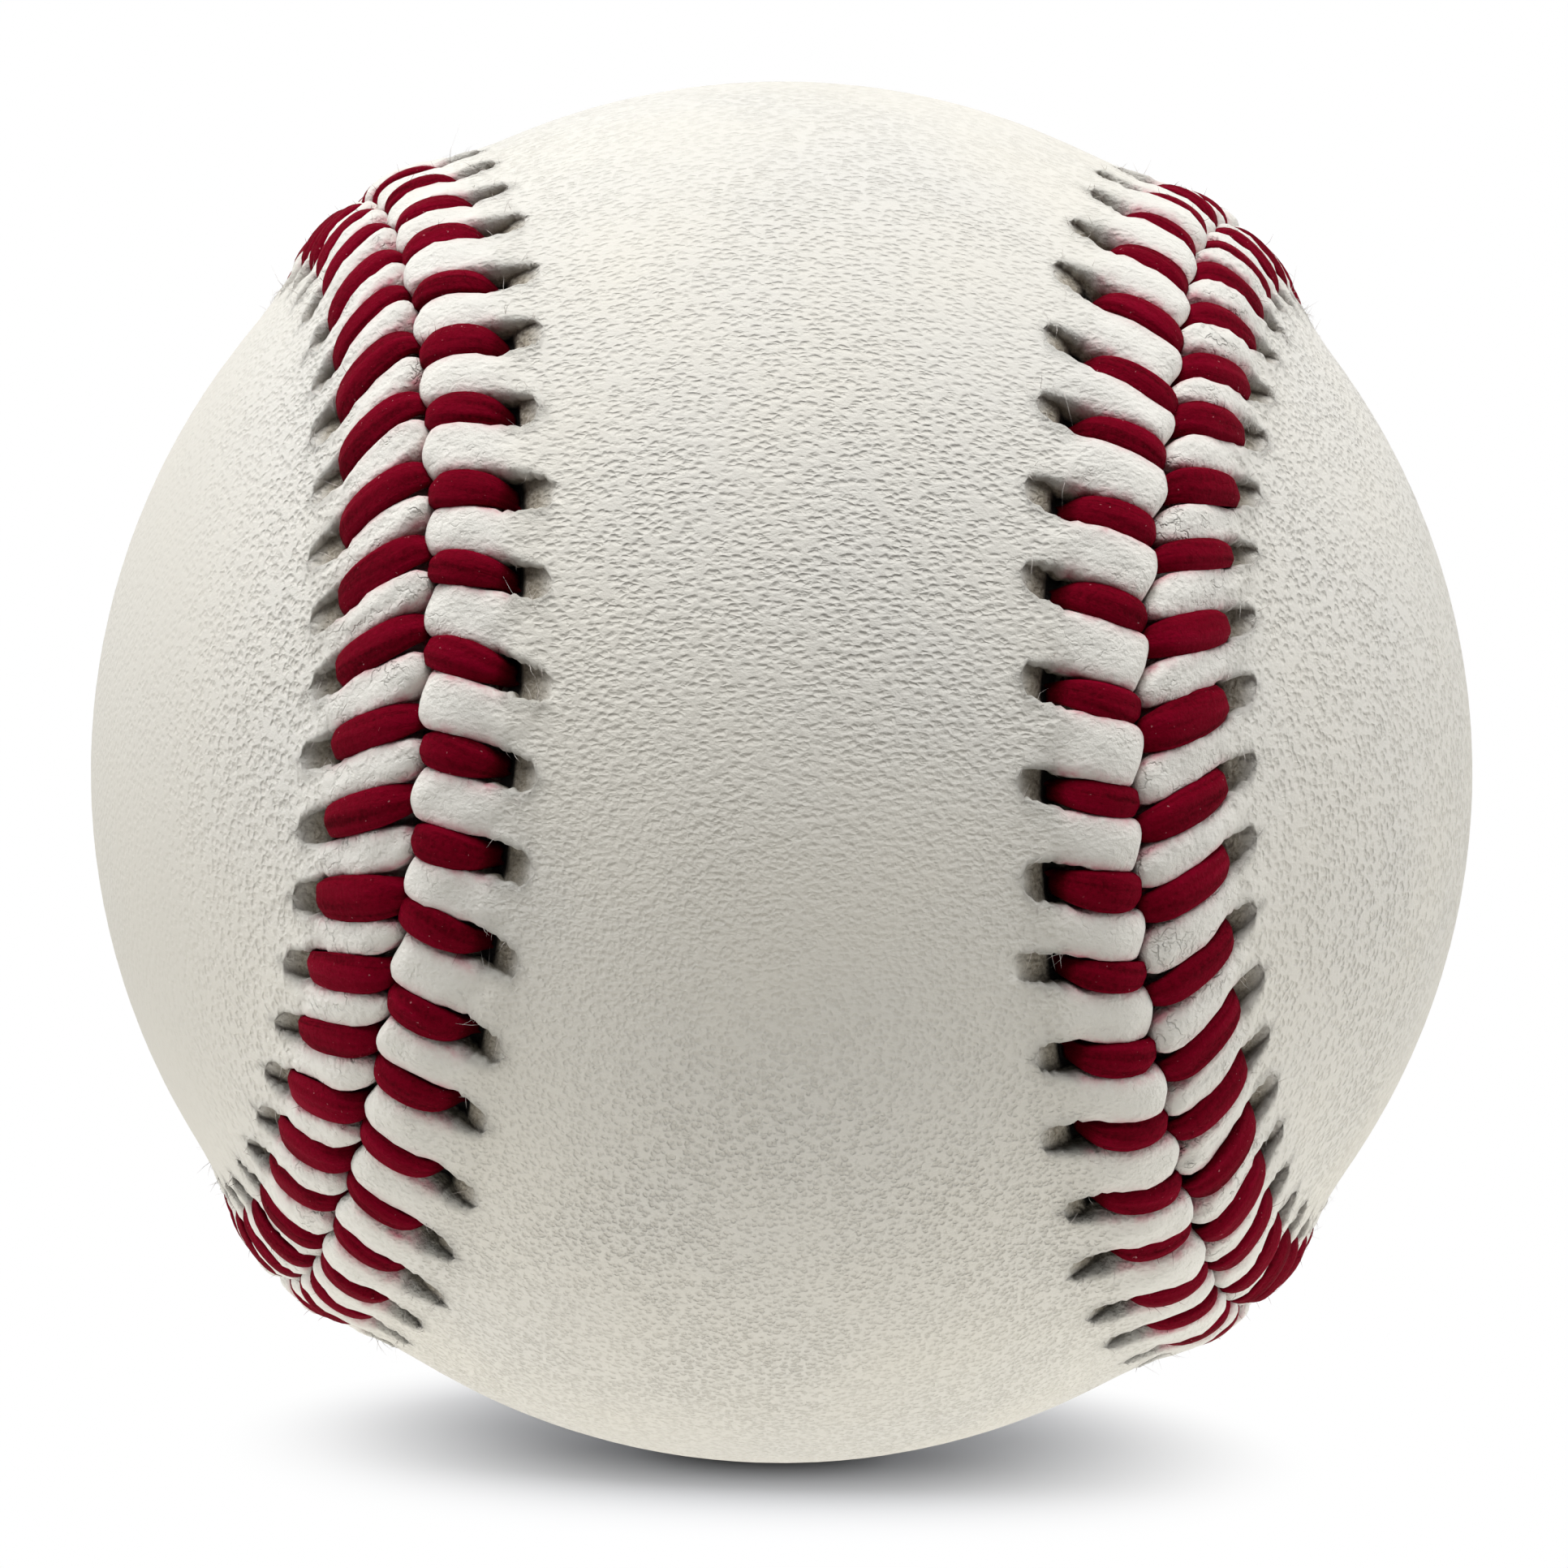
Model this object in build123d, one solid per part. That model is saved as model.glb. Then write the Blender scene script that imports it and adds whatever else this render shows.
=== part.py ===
from build123d import *
import os
from math import acos, asin, atan, cos, degrees, pi, radians, sin, sqrt, tan

# Baseball, in mm. The origin is the centre of the ball, +Z is up and the viewer stands at -Y.
# The front panel's narrow waist faces -Y, the back panel's narrow waist faces +Y.

# Pill: cork ball, two black rubber half-shells with their gaskets, red rubber over all
cork_diameter = 20.64
black_rubber_thickness = 3.97
gasket_thickness = 0.8
red_rubber_thickness = 2.38

# Yarn windings, from the pill outwards
first_winding_thickness = 14.66
second_winding_thickness = 1.77
third_winding_thickness = 2.27
finishing_winding_thickness = 0.51
layer_clearance = 0.04

# Cover: two figure-eight leather panels that meet along one closed seam
leather_thickness = 1.27
waist_half_angle = 25.13
seam_channel_half_width = 1.1
lip_rise = 0.2
lip_shoulder = 2.4
lip_foot = 5.4
tunnel_half_width = 6.2

# Lobes: the leather that stands up between two stitches
seam_height = 1.2
lobe_nose_radius = 1.15
lobe_seam_gap = 0.15
lobe_tail_length = 4.2
lobe_tail_sink = 0.35

# Stitches: two needles whose threads pass each other at every pair of holes
stitch_count = 108
stitch_phase_share = 0.53
thread_diameter = 0.9
thread_clearance = 0.03
corner_cut_share = 0.3
hole_distance = 4.5
hole_clearance = 0.08
slit_tip_distance = 5.8
dive_distance = 0.4
mean_lead = 1.62
lead_spread_share = 0.92
tucked_end_share = 0.45

# One overrun serves all cuts
overrun = 2.0

# Radii of the layers
cork_radius = cork_diameter / 2
black_rubber_radius = cork_radius + black_rubber_thickness
red_rubber_radius = black_rubber_radius + red_rubber_thickness
first_winding_radius = red_rubber_radius + first_winding_thickness
second_winding_radius = first_winding_radius + second_winding_thickness
third_winding_radius = second_winding_radius + third_winding_thickness
finishing_winding_radius = third_winding_radius + finishing_winding_thickness
cover_inner_radius = finishing_winding_radius + layer_clearance
ball_radius = finishing_winding_radius + leather_thickness
lip_radius = ball_radius + lip_rise

# The seam is four equal arcs on the ball that run smoothly into each other. Each lies on a circle
# seam_angle away from its own axis, and the axes lean a little from the X and Z directions.
# In the order in which the stitches run: right front, lower back, left front, upper back.
waist = radians(waist_half_angle)
lean = atan((1 / sqrt(2) - sin(waist)) / cos(waist))
seam_angle = acos(cos(lean) / sqrt(2))
half_sweep = acos(-sin(lean) / (sqrt(2) * sin(seam_angle)))
arc_length = 2 * half_sweep * sin(seam_angle) * ball_radius
pitch = 4 * arc_length / stitch_count
arc_frames = [
    Plane((0, 0, 0), x_dir=(-sin(lean), -cos(lean), 0), z_dir=(cos(lean), -sin(lean), 0)),
    Plane((0, 0, 0), x_dir=(0, cos(lean), sin(lean)), z_dir=(0, sin(lean), -cos(lean))),
    Plane((0, 0, 0), x_dir=(sin(lean), -cos(lean), 0), z_dir=(-cos(lean), -sin(lean), 0)),
    Plane((0, 0, 0), x_dir=(0, cos(lean), -sin(lean)), z_dir=(0, sin(lean), cos(lean))),
]
FRONT, BACK = 1, -1

# Each thread leads from its hole towards the tip of the V, on the back panel by more than a thread
# further than on the front panel, so that the two needles pass each other in the seam
thread_radius = thread_diameter / 2
leads = {
    FRONT: mean_lead - lead_spread_share * thread_diameter,
    BACK: mean_lead + lead_spread_share * thread_diameter,
}

# Heights of the thread's middle. A straight run sags below the round of the ball.
under_run = sqrt((pitch - leads[FRONT]) ** 2 + (hole_distance + dive_distance) ** 2)
over_run = hole_distance - dive_distance
under_sag = under_run**2 / (8 * ball_radius)
over_sag = over_run**2 / (8 * ball_radius)
thread_seat = thread_radius + thread_clearance
under_radius = finishing_winding_radius + thread_seat + under_sag
tunnel_radius = under_radius + thread_seat
over_hole_radius = ball_radius + thread_seat + thread_clearance
over_seam_radius = lip_radius + thread_seat + over_sag


def on_seam(along, aside, radius):
    """The point at a length along the seam, a distance aside (front panel positive) and a radius."""
    number = int(along // arc_length) % len(arc_frames)
    turn = half_sweep * (2 * (along % arc_length) / arc_length - 1)
    away = aside / ball_radius
    if number % 2:
        turn, away = -turn, -away
    tilt = seam_angle + away
    local = Vector(sin(tilt) * cos(turn), sin(tilt) * sin(turn), cos(tilt)) * radius
    return arc_frames[number].from_local_coords(local)


def stitch_place(number):
    """How far along the seam a pair of stitch holes lies."""
    return (number + stitch_phase_share) * pitch


def layer(outer_radius, core_radius):
    """A closed round layer over the layer below it."""
    return Sphere(outer_radius) - Sphere(core_radius + layer_clearance)


def half_shell(side):
    """One black rubber half-shell, cut back at its rim for its gasket."""
    rim = gasket_thickness + layer_clearance
    reach = black_rubber_radius + overrun
    keep = Pos(0, 0, side * (rim + reach / 2)) * Box(2 * reach, 2 * reach, reach)
    return layer(black_rubber_radius, cork_radius) & keep


def gasket(side):
    """The red rubber washer under the rim of one half-shell, rounded to the shell's outside."""
    height = gasket_thickness - layer_clearance / 2
    middle = side * (layer_clearance + height) / 2
    washer = Cylinder(black_rubber_radius, height) - Cylinder(cork_radius + layer_clearance, height)
    return Pos(0, 0, middle) * washer & Sphere(black_rubber_radius)


def edge_section(hand, far_tilt):
    """The leather's section from the seam's edge to far_tilt: lip above, thread tunnel below."""
    def tilt(aside):
        return seam_angle + hand * aside / ball_radius

    def corner(turn, radius):
        return Vector(radius * sin(turn), 0, radius * cos(turn))

    outline = [
        (far_tilt, ball_radius),
        (tilt(lip_foot), ball_radius),
        (tilt(lip_shoulder), lip_radius),
        (tilt(seam_channel_half_width), lip_radius),
        (tilt(seam_channel_half_width), tunnel_radius),
        (tilt(tunnel_half_width), tunnel_radius),
        (tilt(tunnel_half_width), cover_inner_radius),
        (far_tilt, cover_inner_radius),
    ]
    edges = []
    for (turn, radius), (next_turn, next_radius) in zip(outline, outline[1:] + outline[:1]):
        start, end = corner(turn, radius), corner(next_turn, next_radius)
        if radius == next_radius:
            middle = corner((turn + next_turn) / 2, radius)
            edges.append(Edge.make_three_point_arc(start, middle, end))
        else:
            edges.append(Edge.make_line(start, end))
    return Face(Wire(edges))


def waist_filler(strip_tilt):
    """The upper half of the front panel's waist, between its two seam strips and its upper lobe."""
    reach = ball_radius + overrun
    filler = (Sphere(ball_radius) - Sphere(cover_inner_radius)).rotate(Axis.X, degrees(pi / 2))
    for normal in ((0, 0, 1), (-sin(lean), -cos(lean), sin(lean)), (sin(lean), -cos(lean), sin(lean))):
        keep = Pos(0, 0, reach / 2) * Box(2 * reach, 2 * reach, reach)
        filler = filler & Plane((0, 0, 0), z_dir=normal).location * keep
    rim = (reach * tan(strip_tilt), 0, reach)
    wedge = Face(Wire.make_polygon([(0, 0, 0), (0, 0, reach), rim]))
    cone = revolve(wedge, Axis.Z)
    return filler - arc_frames[0].location * cone - arc_frames[2].location * cone


def panel_blank():
    """The front panel before sewing: two turned lobes, a turned strip by each seam and the waist."""
    sweep_degrees = degrees(half_sweep)
    strip_tilt = seam_angle + (tunnel_half_width + overrun) / ball_radius
    lobe_section = edge_section(-1, 0).rotate(Axis.Z, -sweep_degrees)
    strip_section = edge_section(1, strip_tilt)
    upper_right = strip_section.rotate(Axis.Z, -sweep_degrees)
    upper_half = [
        arc_frames[3].location * revolve(lobe_section, Axis.Z, 2 * sweep_degrees),
        arc_frames[0].location * revolve(upper_right, Axis.Z, sweep_degrees),
        arc_frames[2].location * revolve(strip_section, Axis.Z, sweep_degrees),
        waist_filler(strip_tilt),
    ]
    half = upper_half[0].fuse(*upper_half[1:])
    return half.fuse(half.rotate(Axis.Y, degrees(pi)))


def sewn_lobes(side):
    """The raised lobes of one panel, one between each two stitches: round nose, tapered tail."""
    nose_distance = lobe_seam_gap + lobe_nose_radius
    nose_height = ball_radius + seam_height - lobe_nose_radius
    tail_height = ball_radius - lobe_tail_sink
    touch = lobe_nose_radius / lobe_tail_length
    cheek = lobe_nose_radius / sqrt(2)
    shoulder = (lobe_nose_radius * sqrt(1 - touch**2), -lobe_nose_radius * touch)
    tip, nose = (0, -lobe_tail_length), (0, lobe_nose_radius)
    outline = [
        Edge.make_line(tip, shoulder),
        Edge.make_three_point_arc(shoulder, (cheek, cheek), nose),
        Edge.make_line(nose, tip),
    ]
    lobe = revolve(Face(Wire(outline)), Axis.Y).rotate(Axis.Y, degrees(pi / 2))
    fall = (nose_height**2 + lobe_tail_length**2 - tail_height**2) / (2 * nose_height * lobe_tail_length)
    lobe = lobe.rotate(Axis.Z, degrees(pi / 2)).rotate(Axis.Y, degrees(asin(fall)))
    web_middle = (tunnel_radius + lip_radius) / 2
    lobe = lobe - Pos(0, 0, -nose_height) * Sphere(web_middle).rotate(Axis.X, degrees(pi / 2))
    drift = leads[side] / over_run
    made = []
    for number in range(stitch_count):
        along = stitch_place(number) + pitch / 2
        nose_along = along + drift * (hole_distance - nose_distance)
        nose = on_seam(nose_along, side * nose_distance, nose_height)
        tail = on_seam(along, side * hole_distance, nose_height)
        made.append(Plane(nose, x_dir=tail - nose, z_dir=nose).location * lobe)
    return made


def stitch_slits(side):
    """The cutters for the stitch holes of one panel: round at the thread, pointed outwards."""
    hole_radius = thread_radius + hole_clearance
    reach = slit_tip_distance - hole_distance
    touch = hole_radius / reach
    flank = (hole_radius * touch, hole_radius * sqrt(1 - touch**2))
    far_flank = (flank[0], -flank[1])
    outline = [
        Edge.make_line((reach, 0), flank),
        Edge.make_three_point_arc(flank, (-hole_radius, 0), far_flank),
        Edge.make_line(far_flank, (reach, 0)),
    ]
    foot = cover_inner_radius
    slit = extrude(Face(Wire(outline)), lip_radius + overrun - foot)
    made = []
    for number in range(stitch_count):
        along = stitch_place(number)
        hole = on_seam(along, side * hole_distance, foot)
        seam_end = on_seam(along + leads[side], side * dive_distance, foot)
        made.append(Plane(hole, x_dir=hole - seam_end, z_dir=hole).location * slit)
    return made


def cover_panel(blank, side):
    """A panel as it is after sewing, with its lobes pulled up and its stitch holes open."""
    return blank.fuse(*sewn_lobes(side)).cut(*stitch_slits(side))


def thread_route(first_side):
    """One needle's way: up through a hole, over to the seam, down, and under to the next hole."""
    points = []
    side = first_side
    for number in range(stitch_count):
        hole = stitch_place(number)
        dive = hole + leads[side]
        points.append(on_seam(hole, side * hole_distance, under_radius))
        points.append(on_seam(hole, side * hole_distance, over_hole_radius))
        points.append(on_seam(dive, side * dive_distance, over_seam_radius))
        points.append(on_seam(dive, side * dive_distance, under_radius))
        side = -side
    last_run = points[0] - points[-1]
    start = points[0] - last_run * tucked_end_share
    end = points[-1] + last_run * tucked_end_share
    return [start] + points + [end]


def needle_thread(first_side):
    """The thread of one needle, stitch by stitch, with its corners cut once."""
    route = thread_route(first_side)
    cut = corner_cut_share * (over_hole_radius - under_radius)
    knots = [route[0]]
    for before, here, after in zip(route, route[1:], route[2:]):
        knots.append(here + (before - here).normalized() * cut)
        knots.append(here + (after - here).normalized() * cut)
    knots.append(route[-1])
    steps = [(after - before).normalized() for before, after in zip(knots, knots[1:])]
    rings = []
    sideways = knots[0]
    for knot, step_in, step_out in zip(knots, steps[:1] + steps, steps + steps[-1:]):
        ahead = (step_in + step_out).normalized()
        sideways = (sideways - ahead * sideways.dot(ahead)).normalized()
        rings.append(Wire.make_circle(thread_radius, Plane(knot, x_dir=sideways, z_dir=ahead)))
    rings_per_stitch = 8
    stitches = []
    for first in range(0, rings_per_stitch * stitch_count, rings_per_stitch):
        last = first + rings_per_stitch + 1
        if last == len(rings) - 1:
            last = len(rings)
        stitches.append(Solid.make_loft(rings[first:last], ruled=True))
    return stitches[0].fuse(*stitches[1:])


nodes = {
    "cork_core": Sphere(cork_radius),
    "black_rubber_half_shell_upper": half_shell(1),
    "black_rubber_half_shell_lower": half_shell(-1),
    "rubber_gasket_upper": gasket(1),
    "rubber_gasket_lower": gasket(-1),
    "red_rubber_layer": layer(red_rubber_radius, black_rubber_radius),
    "first_winding_grey_wool": layer(first_winding_radius, red_rubber_radius),
    "second_winding_white_wool": layer(second_winding_radius, first_winding_radius),
    "third_winding_grey_wool": layer(third_winding_radius, second_winding_radius),
    "finishing_winding_cotton": layer(finishing_winding_radius, third_winding_radius),
}
front_blank = panel_blank()
back_blank = front_blank.mirror(Plane.XZ).rotate(Axis.Y, degrees(pi / 2))
nodes["cover_panel_front"] = cover_panel(front_blank, FRONT)
nodes["cover_panel_back"] = cover_panel(back_blank, BACK)
nodes["seam_thread_first_needle"] = needle_thread(FRONT)
nodes["seam_thread_second_needle"] = needle_thread(BACK)

os.makedirs("parts", exist_ok=True)
for name, shape in nodes.items():
    export_step(shape, f"parts/{name}.step")
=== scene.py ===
import math

import bpy
import numpy as np
from mathutils import Euler, Matrix, Vector
from mathutils.geometry import delaunay_2d_cdt


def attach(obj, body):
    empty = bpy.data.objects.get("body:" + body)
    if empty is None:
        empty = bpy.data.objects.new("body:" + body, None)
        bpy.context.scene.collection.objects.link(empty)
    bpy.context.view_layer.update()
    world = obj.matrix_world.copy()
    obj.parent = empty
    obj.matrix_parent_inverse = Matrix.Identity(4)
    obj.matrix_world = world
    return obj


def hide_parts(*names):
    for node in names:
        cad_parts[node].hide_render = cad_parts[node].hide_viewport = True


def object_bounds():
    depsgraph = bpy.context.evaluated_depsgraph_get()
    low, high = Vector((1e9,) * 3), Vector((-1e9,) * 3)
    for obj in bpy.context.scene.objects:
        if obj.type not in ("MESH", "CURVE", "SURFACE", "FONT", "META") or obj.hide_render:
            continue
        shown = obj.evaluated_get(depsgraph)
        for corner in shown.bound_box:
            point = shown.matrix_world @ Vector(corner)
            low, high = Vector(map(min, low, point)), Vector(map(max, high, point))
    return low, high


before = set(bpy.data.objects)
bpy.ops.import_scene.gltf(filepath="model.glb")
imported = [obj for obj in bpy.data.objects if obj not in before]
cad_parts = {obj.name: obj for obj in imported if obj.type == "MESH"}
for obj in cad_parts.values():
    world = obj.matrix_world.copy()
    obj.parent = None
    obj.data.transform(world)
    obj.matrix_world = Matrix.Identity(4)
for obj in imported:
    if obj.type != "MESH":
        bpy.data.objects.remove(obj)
cad_low, cad_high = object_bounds()

# Baseball, lengths in mm. The origin is the ball's centre, +Z is up, the front waist faces -Y.
metres_per_mm = 0.001
ball_radius = 37.15
waist_half_angle = 25.13
stitch_count = 108
FRONT, BACK = 1, -1

# Stitches: where the pairs of holes lie along the seam, and how far each leg leads to the V's tip.
# Swing and sways are the slow unevenness of this ball's sewing, counted from the left seam's middle.
hole_distance = 4.5
dive_distance = 0.4
mean_phase_share = 0.48
phase_swing_share = -0.19
phase_sway_shares = (-0.18, -0.09)
left_middle_share = 0.625
leads = {FRONT: 0.68, BACK: 1.85}
place_scatter = 0.1
lead_scatter = 0.17
leg_bow = 0.12
seam_zigzag = 0.3
zigzag_reach = 2.4
sewing_seed = 108

# Drifts of the seam line: each one's place as a share of the way round, its size and its reach
seam_drifts = [(left_middle_share, 0.75, 20.0), (0.146, 0.75, 14.0), (0.094, -0.5, 9.0)]
drift_fades_at = 6.5

# Leather beside the seam, as heights over the ball and half widths at distances from the seam
lobe_crest = [
    (0.05, 0.42), (0.12, 0.66), (0.25, 0.88), (0.45, 1.02), (0.7, 1.09), (1.2, 1.14), (2.0, 1.12),
    (3.0, 0.9), (4.0, 0.6), (4.8, 0.4), (5.6, 0.24), (6.4, 0.11), (7.4, 0.03), (8.4, 0),
]
groove_floor = [
    (0.05, -0.7), (0.3, -0.4), (0.7, -0.1), (1.5, 0.1), (2.8, 0.0), (3.4, -0.5), (3.8, -1.0),
    (4.35, -1.0), (4.55, -0.8), (4.8, -0.52), (5.2, -0.36), (5.6, -0.25), (5.9, -0.12), (6.05, 0.02),
    (6.15, 0.25), (6.3, 1.5),
]
groove_noses = {
    FRONT: [(0.05, 0.92), (0.15, 0.76), (0.4, 0.69)],
    BACK: [(0.05, 1.15), (0.2, 0.92), (0.5, 0.76)],
}
groove_half_width = [
    (1.2, 0.68), (2.2, 0.7), (4.2, 0.72), (4.9, 0.7), (5.4, 0.66), (5.75, 0.6), (5.9, 0.53),
    (6.0, 0.42), (6.08, 0.25), (6.16, 0.05),
]
groove_width_shares = {FRONT: 1.03, BACK: 1.14}
hole_length_shares = {FRONT: 1.08, BACK: 0.84}
full_groove_half_width = 0.7
lobe_scatter_share = 0.1
groove_scatter_share = 0.07
hole_scatter_share = 0.12
torn_scatter = 0.05
rim_distances = (3.9, 4.6)
rim_rise, rim_reach = 0.09, 0.3
rim_from_share = 0.3

# Section across a lobe, from the middle of a groove to the top of the lobe
rise_shares = [0, 0, 0.06, 0.28, 0.51, 0.7, 0.83, 0.91, 0.95, 0.975, 0.99, 1, 1]
wall_offsets = [0.02, -0.05, -0.06, -0.03, 0.06, 0.18]
floor_edge_share = 0.55

# Rows of leather points: the strip along the seam, its edge, the way to the field and the flesh side
strip_distances = [
    0.05, 0.1, 0.2, 0.35, 0.55, 0.8, 1.1, 1.5, 2.0, 2.55, 3.1, 3.5, 3.8, 4.05, 4.3, 4.5, 4.7,
    4.93, 5.2, 5.45, 5.66, 5.82, 5.94, 6.05, 6.2, 6.4, 6.65, 7.0,
]
edge_depths = [(0.2, -1.15), (0.12, -0.8), (0.07, -0.35)]
thinning_distances = [7.5, 8.2, 9.2]
flesh_distances = [0.9, 2.2, 4.2]
flesh_depth = [(0.9, -1.24), (4.2, -1.24)]
plain_from, plain_at = 6.3, 7.0
field_spacing = 1.25
flesh_spacing = 3.0
field_gap_share = 0.7
seam_steps = 1600
same_place_gap = 1e-7

# Uneven swellings of the leather, each a sum of waves
swell_wave, swell_height = 2.4, 0.075
pucker_wave = 0.85
pucker_heights = {FRONT: 0.03, BACK: 0.05}
wave_count = 9
wave_shares = (0.7, 1.5)
wave_seed = 37

# Marks for the materials: from where to where each grows, and its reach from a groove's edge
# The hollow mark is where painted shade darkens the holes and the groove floors
hollow_heights = (0.15, -0.95)
stretched_distances = (5.2, 3.2)
dye_distances, dye_reach = (4.8, 3.6), 0.18
torn_from, torn_until, torn_reach = (3.7, 4.4), (6.8, 6.0), 0.3
buried_heights = (0.3, -0.25)
leather_marks = ("hollow", "stretched", "dye", "torn")
fibre_mark_shares = (0.0, 1.0, 0.15, 0.0)

# Threads: middle line and half width of a leg at distances from the seam
leg_heights = [
    (4.75, -1.1), (4.6, -0.8), (4.4, -0.25), (4.1, 0.22), (3.6, 0.54), (2.9, 0.75), (2.1, 0.86),
    (1.4, 0.88), (0.85, 0.82), (0.45, 0.66), (0.2, 0.45), (0.02, 0.15), (-0.12, -0.3), (-0.2, -0.8),
]
leg_half_width = [
    (-0.2, 0.4), (0.0, 0.53), (0.3, 0.64), (0.9, 0.74), (1.6, 0.79), (2.6, 0.79), (3.3, 0.74),
    (3.9, 0.66), (4.3, 0.57), (4.75, 0.45),
]
leg_reach_shares = {FRONT: 0.85, BACK: 0.97}
leg_half_thickness = 0.45
least_thickness_share = 0.35
leg_rings = 23
under_rings = 4
under_depth = -0.85
ring_sides = 26
ply_count = 6
ply_depth_share = 0.045
ply_turn_share = 0.35

# Loose fibres: fuzz on the threads and torn leather round the holes
fibre_rings = 3
fibre_sides = 3
fibre_taper_share = 0.85
least_length = 0.001
fuzz_per_leg = 16
fuzz_radius, fuzz_length = 0.011, 0.42
fuzz_length_shares = (0.4, 1.6)
fuzz_rise_shares = (0.1, 0.6)
fuzz_scatter_share, fuzz_bend_share, fuzz_droop_share = 0.6, 0.35, 0.3
fuzz_margin_parts = 6
torn_per_hole = 12
torn_radius, torn_length = 0.014, 0.5
torn_length_shares = (0.3, 1.4)
torn_rise_shares = (0.0, 0.55)
torn_inward_shares = (-0.5, 0.9)
torn_way_share, torn_bend_share, torn_droop_share = 0.35, 0.7, 0.2
torn_columns = [-8, -7, -6, -5, 5, 6, 7, 8]

# Kinds of noise: how many finer layers each has, and how strong they are
plain_detail, plain_roughness = 3.0, 0.55
fold_noise = {"roughness": 0.6}
cloud_noise = {"detail": 4.0}
fine_noise = {"detail": 5.0, "roughness": 0.65}
fibre_noise = {"detail": 5.0, "roughness": 0.7}
strand_noise = {"roughness": 0.5, "distortion": 0.5}
lint_noise = {"detail": 2.0}
speckle_noise = {"detail": 4.0, "roughness": 0.65}
fuzz_noise = {"detail": 4.0, "roughness": 0.7}
noise_span, noise_middle = (0.35, 0.65), 0.5

# Leather's look, with scales per mm. Low down the front's grain is dots, and higher up it is dashes.
# The back has no dashes, so they start above the ball. Its left side is more even, and greyer with
# painted shade.
grain_depth, grain_bump = 0.095, 1.0
dash_stretch = (0.56, 1, 1)
dash_scale, wrinkle_scale = 3.7, 7.4
dash_heights = {FRONT: (-22.0, 2.0), BACK: (50.0, 60.0)}
# How much painted shade darkens the pits of the dashes
dash_shade_shares = {FRONT: 0.17, BACK: 0.2}
dot_scales = {FRONT: 3.9, BACK: 2.7}
dot_shares = {FRONT: 0.95, BACK: 1.25}
# How much painted shade darkens the pits of the dots
dot_shade_shares = {FRONT: 0.4, BACK: 0.2}
even_from, even_to = -29.0, -22.0
even_shares = {FRONT: 1.0, BACK: 0.28}
pit_edge_share, pit_middle_share = 0.69, 0.09
pit_bend, pit_bend_detail = 0.9, 2.0
patch_scale, patch_share = 0.11, 0.6
blotch_scale = 0.06
crack_scale, crack_half_width = 0.9, 0.035
crack_shares = {FRONT: 0.3, BACK: 0.9}
strain_scale, strain_span = 0.5, (0.45, 0.65)
dye_scale, dye_span, least_dye_share = 1.6, (0.36, 0.64), 0.25
fibre_scale = 6.0
fine_scale = 3.5
frayed_scale, frayed_share = 9.0, 2.0
wrinkle_share = 0.5
field_rough_share, lobe_rough_share = 0.3, 0.7
lobe_smooth_share, lobe_clean_share = 0.6, 0.7
# Where the hollows take raw fibre darkened by painted shade, and where painted black shade
shaded_raw_span, hole_shade_span = (0.05, 0.4), (0.72, 0.98)
relief_span, leather_roughness = (-0.6, 1.0), (0.7, 0.5)
leather_shine = 0.2

# Thread's look: strands are counted round the thread, along a leg and from leg to leg
strands_around, strands_along, strands_between = 30.0, 5.0, 90.0
strand_skew = 0.8
strand_scale, strand_share = 0.28, 0.6
fluff_scale = 5.0
# Spans of the strands' relief for the darker and lighter tone: partly the thread's own uneven red, partly
# painted shade and painted highlight
strand_span, dark_span, highlight_span = (0.34, 0.66), (0.0, 0.5), (0.6, 1.0)
highlight_share = 0.6
lint_scale, lint_span, lint_share = 4.5, (0.72, 0.78), 0.6
# Painted shade where the thread dives into the leather
buried_shade_share = 0.85
thread_depth, thread_bump = 0.08, 0.8
thread_roughness = (0.8, 0.6)
thread_shine = 0.025

# Look of the layers inside, with grains and turns per mm
rubber_scale, rubber_depth = 1.5, 0.05
black_roughness, red_roughness = 0.6, 0.55
cork_scale, cork_depth, cork_roughness = 0.8, 0.2, 0.85
speckle_bump, chip_span = 0.5, (0.1, 0.6)
wool_turns, cotton_turns = 0.5, 0.9
yarn_wander, yarn_detail = 6.0, 3.0
yarn_fuzz_scale, yarn_fuzz_span, yarn_fuzz_share = 4.0, (0.3, 0.7), 0.5
yarn_depth, yarn_bump, yarn_roughness = 0.3, 0.7, 0.95

# Colours, linear
floor_paint = (0.93, 0.95, 1.0)
ivory = (0.79, 0.763, 0.692)
cool_ivory = (0.768, 0.75, 0.7)
# Painted shade that greys the back panel's left side
left_shade_ivory = (0.68, 0.657, 0.596)
clean_ivory = (0.86, 0.845, 0.79)
# Painted shade for the creases, pits and cracks of the grain
crease_shade_ivory = (0.5, 0.47, 0.4)
# Raw fibre in the holes, partly its own colour and partly painted shade
shaded_raw_leather = (0.27, 0.235, 0.18)
pale_fibre = (0.53, 0.48, 0.4)
# Painted black shade deepest in the holes and grooves
hole_shade_black = (0.012, 0.01, 0.009)
dye_pink = (0.6, 0.16, 0.22)
crimson = (0.165, 0.0, 0.0098)
dark_crimson = (0.066, 0.0, 0.0032)
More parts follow.
